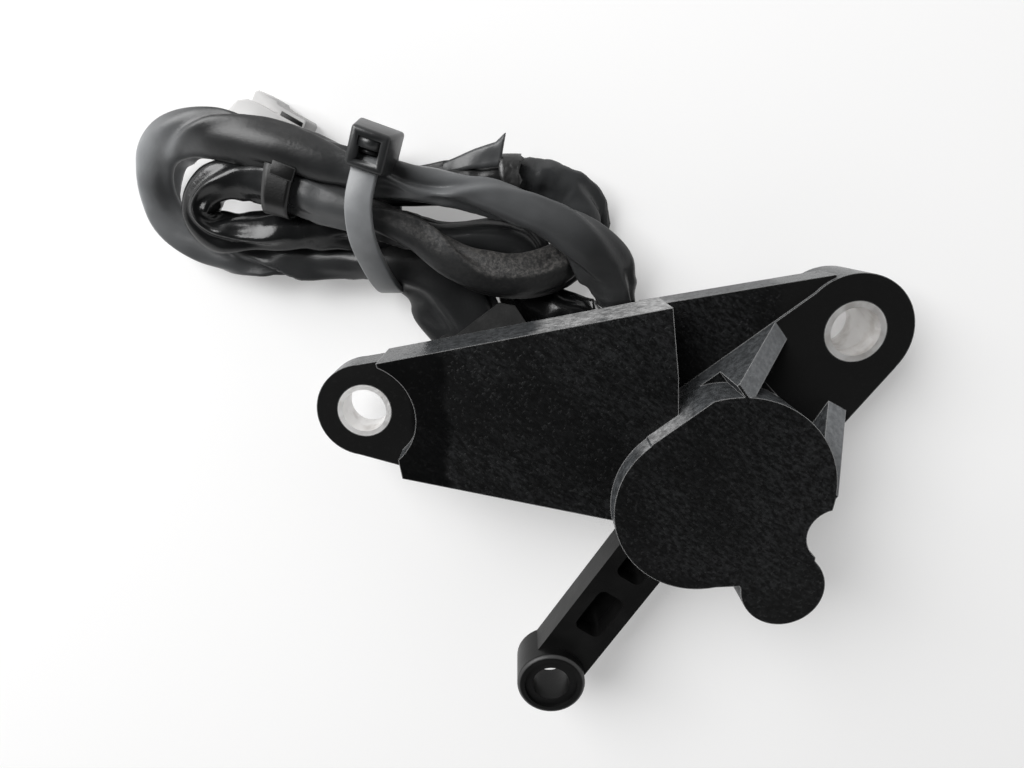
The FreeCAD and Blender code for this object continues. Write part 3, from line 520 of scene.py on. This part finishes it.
def wrap_mesh(spot, reach, width, thickness, roll, ragged, sides):
    """A band round the sleeve: a ring of edges pushed along the lead's line, then given a wall."""
    middle = nearest(lead_line, spot)
    line = lead_line[middle - reach:middle + reach + 1]
    mesh = bmesh.new()
    ring = bmesh.ops.create_circle(mesh, segments=sides, radius=1)["verts"]
    edges = list(mesh.edges)
    for index, point in enumerate(line):
        heading = (line[min(index + 1, len(line) - 1)] - line[max(index - 1, 0)]).normalized()
        sideways = Matrix.Rotation(math.radians(roll), 3, heading) @ heading.cross(Vector((0, 0, 1))).normalized()
        upwards = sideways.cross(heading)
        if index:
            grown = bmesh.ops.extrude_edge_only(mesh, edges=edges)["geom"]
            ring = [part for part in grown if isinstance(part, bmesh.types.BMVert)]
            fresh = set(ring)
            edges = [part for part in grown if isinstance(part, bmesh.types.BMEdge) and fresh.issuperset(part.verts)]
        at_end = index in (0, len(line) - 1)
        for number, vertex in enumerate(ring):
            turn = 2 * math.pi * number / sides
            tear = ragged * noise.noise(Vector((number * 1.7, index, 0.5))) if at_end else 0.0
            side = math.copysign(abs(math.cos(turn)) ** 0.7, math.cos(turn)) * width / 2
            height = math.copysign(abs(math.sin(turn)) ** 0.7, math.sin(turn)) * thickness / 2
            vertex.co = point + (sideways * side + upwards * height + heading * tear) * MM
    bmesh.ops.recalc_face_normals(mesh, faces=mesh.faces)
    bmesh.ops.solidify(mesh, geom=list(mesh.faces), thickness=-0.35 * MM)
    return mesh


clip = piece_from("clip_band", wrap_mesh((-79.6, 19.9, 9.2), 3, 7.6, 5.4, 0, 0.0, 24))
tape = piece_from("tape_band", wrap_mesh((-48.9, 21.2, 4.5), 3, 5.4, 5.0, 10, 0.7, 28))
hook_mesh = bmesh.new()
bmesh.ops.create_cube(hook_mesh, size=1)
bmesh.ops.scale(hook_mesh, vec=CLIP_HOOK * MM, verts=hook_mesh.verts)
soft_edges(hook_mesh, list(hook_mesh.edges), 0.2 * MM)
bmesh.ops.rotate(hook_mesh, matrix=Matrix.Rotation(CLIP_TURN, 3, "Z"), verts=hook_mesh.verts)
bmesh.ops.translate(hook_mesh, vec=CLIP_HOOK_PLACE * MM, verts=hook_mesh.verts)
hook = piece_from("clip_hook", hook_mesh)
smooth.on(clip, hook)
for piece in (clip, hook):
    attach(piece, "base")
    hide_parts("sheath_clip")
tape_black = Finish("tape_black", Specular_IOR_Level=0.5)
tape_ripple = tape_black.noise(0.0024, 2.5, 0.5)
tape_black.give(Base_Color=tape_ripple.paint(grey(0.008), grey(0.03)), Roughness=0.18 + 0.3 * tape_ripple)
tape_black.relief(tape_ripple, 0.0006, 0.6)
tape_black.on(tape)
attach(tape, "base")
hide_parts("tape_wrap")

# Torn sleeve: beside the tape the sleeve is slit, and its end stands out as a thin curled flap.
# It is the sleeve's own PVC, under half a millimetre thick.
FLAP_ROOT = [(-60.4, 21.0, 4.6), (-58.2, 21.5, 5.4), (-55.6, 22.0, 6.0), (-52.8, 22.2, 6.4), (-50.4, 22.4, 6.4)]
FLAP_RIM = [(-61.2, 21.6, 4.2), (-57.4, 23.4, 5.2), (-53.8, 24.8, 6.0), (-51.0, 25.6, 6.6), (-49.7, 26.7, 7.2)]
FLAP_PALENESS = 0.16
flap_mesh = bmesh.new()
rims = []
for rim in (FLAP_ROOT, FLAP_RIM):
    corners = [flap_mesh.verts.new(Vector(corner) * MM) for corner in rim]
    rims.append([flap_mesh.edges.new(pair) for pair in zip(corners, corners[1:])])
bmesh.ops.bridge_loops(flap_mesh, edges=rims[0] + rims[1])
bmesh.ops.subdivide_edges(flap_mesh, edges=list(flap_mesh.edges), cuts=4, use_grid_fill=True, smooth=0.6)
# The flap takes some of the sleeve's pale painted sheen.
flap_painted_sheen = flap_mesh.verts.layers.float.new("bloom")
for vertex in flap_mesh.verts:
    vertex.co.z += 0.5 * MM * noise.noise(vertex.co * 420)
    vertex[flap_painted_sheen] = FLAP_PALENESS
bmesh.ops.recalc_face_normals(flap_mesh, faces=flap_mesh.faces)
bmesh.ops.solidify(flap_mesh, geom=list(flap_mesh.faces), thickness=0.35 * MM)
flap = piece_from("sleeve_flap", flap_mesh)
pvc.on(flap)
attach(flap, "base")

# Connector: a pale grey moulded case on the lead's end, half under the hank, with its mouth to the left.
# A latch rail runs along its outer side, with a thin black latch strip on it, partly painted shade for the slot where
# the lock sits.
PLUG_PLACE = Vector((-90.9, 25.3, 0)) * MM
PLUG_TURN = math.radians(-29)
PLUG_CASE = [(1.2, 0), (11.2, 0), (11.2, 8.4), (4.4, 8.4), (2.8, 8.2), (1.6, 7.4), (1.0, 5.8), (0.9, 0.3)]
PLUG_RAIL = [(3.0, 7.4), (10.8, 7.4), (10.8, 9.2), (10.5, 9.5), (6.4, 9.5), (6.0, 9.9), (3.4, 9.9), (3.0, 9.5)]


def slab(mesh, outline, low, high):
    """Stand a flat outline up from one height to another."""
    corners = [mesh.verts.new(Vector((x, y, low)) * MM) for x, y in outline]
    base = mesh.faces.new(corners)
    raised = bmesh.ops.extrude_face_region(mesh, geom=[base])["geom"]
    top = [part for part in raised if isinstance(part, bmesh.types.BMVert)]
    bmesh.ops.translate(mesh, vec=(0, 0, (high - low) * MM), verts=top)
    return base, next(part for part in raised if isinstance(part, bmesh.types.BMFace))


def plug_piece(name, mesh):
    """Finish a piece made in the connector's own frame and put it in its place."""
    bmesh.ops.recalc_face_normals(mesh, faces=mesh.faces)
    bmesh.ops.transform(mesh, matrix=Matrix.Translation(PLUG_PLACE) @ Matrix.Rotation(PLUG_TURN, 4, "Z"),
                        verts=mesh.verts)
    return piece_from(name, mesh)


def sink(mesh, face, margin, depth):
    """Sink a pocket into one face, leaving a margin round it."""
    bmesh.ops.inset_individual(mesh, faces=[face], thickness=margin * MM)
    inwards = -face.normal.copy() * depth * MM
    pocket = bmesh.ops.extrude_face_region(mesh, geom=[face])["geom"]
    bmesh.ops.delete(mesh, geom=[face], context="FACES_ONLY")
    bmesh.ops.translate(mesh, vec=inwards, verts=[part for part in pocket if isinstance(part, bmesh.types.BMVert)])


case_mesh = bmesh.new()
slab(case_mesh, PLUG_CASE, 0.1, 6.4)
bmesh.ops.recalc_face_normals(case_mesh, faces=case_mesh.faces)
mouth = min(case_mesh.faces, key=lambda side: side.calc_center_median().x)
sink(case_mesh, mouth, 0.9, 7.0)
soft_edges(case_mesh, [edge for edge in sharp_edges(case_mesh, 0.9) if edge.verts[0].co.x + edge.verts[1].co.x > 2 * MM],
           0.25 * MM)
case = plug_piece("connector_case", case_mesh)
rail_mesh = bmesh.new()
slab(rail_mesh, PLUG_RAIL, 0.4, 5.6)
bmesh.ops.recalc_face_normals(rail_mesh, faces=rail_mesh.faces)
soft_edges(rail_mesh, sharp_edges(rail_mesh, 0.9), 0.2 * MM)
rail = plug_piece("connector_rail", rail_mesh)
pale = Finish("connector_grey", Specular_IOR_Level=0.4)
pale_cloud = pale.noise(0.003, 3.0)
pale.give(Base_Color=pale_cloud.paint(grey(0.42, 0.01), grey(0.54, 0.01)), Roughness=0.45 + 0.2 * pale_cloud)
pale.relief(pale_cloud, 0.0001, 0.4)
pale.on(case, rail)
for piece in (case, rail):
    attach(piece, "base")
    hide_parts("connector_body")
# The latch strip's black is partly the lock and partly painted shade for the slot it sits in.
latch_and_slot_shade_mesh = bmesh.new()
slab(latch_and_slot_shade_mesh, [(7.2, 7.9), (10.4, 7.9), (10.4, 9.0), (7.2, 9.0)], 5.3, 5.75)
soft_edges(latch_and_slot_shade_mesh, sharp_edges(latch_and_slot_shade_mesh, 0.9), 0.12 * MM)
latch_and_slot_shade = plug_piece("connector_latch_and_slot_shade", latch_and_slot_shade_mesh)
smooth.on(latch_and_slot_shade)
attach(latch_and_slot_shade, "base")
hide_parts("connector_lock")
on_the_lead = [tie_strap, tie_head, clip, hook, tape, flap, case, rail, latch_and_slot_shade]
on_the_lead += [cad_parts[node] for node in ("connector_terminals", "wire_seal")]

# Stage: a white table under soft light from the top of the picture.
# The camera stands where the photograph was taken, 100 mm above the table.
FLOOR_REACH = 2.0
floor_mesh = bmesh.new()
bmesh.ops.create_grid(floor_mesh, x_segments=1, y_segments=1, size=FLOOR_REACH)
floor = piece_from("table_top", floor_mesh)
table = Finish("white_table", Roughness=0.9, Specular_IOR_Level=0.1, Emission_Strength=1.0)
table.shader.inputs["Base Color"].default_value = grey(0.62)
path = table.start.node("ShaderNodeLightPath", {}, {}, "Is Camera Ray")
glossy = table.start.node("ShaderNodeLightPath", {}, {}, "Is Glossy Ray")
clear = table.start.node("ShaderNodeLightPath", {}, {}, "Is Transmission Ray")
seen = (path + glossy + clear).at_most(1.0)
table.give(Emission_Color=(seen * 0.3).paint(grey(0.0), grey(1.0, 0.005)))
table.on(floor)

world = bpy.data.worlds.new("soft_room")
bpy.context.scene.world = world
world.use_nodes = True
sky = Wire(world.node_tree)
outlook = sky.node("ShaderNodeTexCoord", {}, {}, "Generated")
height = sky.node("ShaderNodeSeparateXYZ", {}, {0: outlook}, "Z")
glow = height.between(0.3, 0.75).paint(grey(0.95), grey(0.02))
world.node_tree.links.new(glow.socket, world.node_tree.nodes["Background"].inputs["Color"])


def soft_lamp(name, place, aim, size, watts):
    """A square lamp that shines from a place towards an aim."""
    lamp = bpy.data.lights.new(name, "AREA")
    lamp.size = size
    lamp.energy = watts
    holder = bpy.data.objects.new(name, lamp)
    holder.location = place
    holder.rotation_euler = (Vector(aim) - Vector(place)).to_track_quat("-Z", "Y").to_euler()
    bpy.context.scene.collection.objects.link(holder)


soft_lamp("window_lamp", (-0.47, 0.36, 0.43), (-0.05, 0.0, 0.0), 0.5, 7.5)

IMAGE_WIDTH = 1024
IMAGE_HEIGHT = 768
FOCAL_PIXELS = 645.0
NADIR = (518.0, 200.0)
CAMERA_PLACE = (-47.906 * MM, 17.955 * MM, 100.4 * MM)
SENSOR = 36.0
down = Vector((NADIR[0] - IMAGE_WIDTH / 2, NADIR[1] - IMAGE_HEIGHT / 2, FOCAL_PIXELS)).normalized()
across = Vector((1, 0, 0))
across = (across - down * down.dot(across)).normalized()
away = (-down).cross(across)
to_part = Matrix((across, away, -down)) @ Matrix.Diagonal((1, -1, -1))
camera_data = bpy.data.cameras.new("camera")
camera_data.sensor_fit = "HORIZONTAL"
camera_data.sensor_width = SENSOR
camera_data.lens = FOCAL_PIXELS * SENSOR / IMAGE_WIDTH
camera_data.clip_start = 0.001
camera = bpy.data.objects.new("camera", camera_data)
camera.matrix_world = Matrix.Translation(CAMERA_PLACE) @ to_part.to_4x4()
bpy.context.scene.collection.objects.link(camera)
bpy.context.scene.camera = camera
bpy.context.scene.view_settings.view_transform = "Standard"
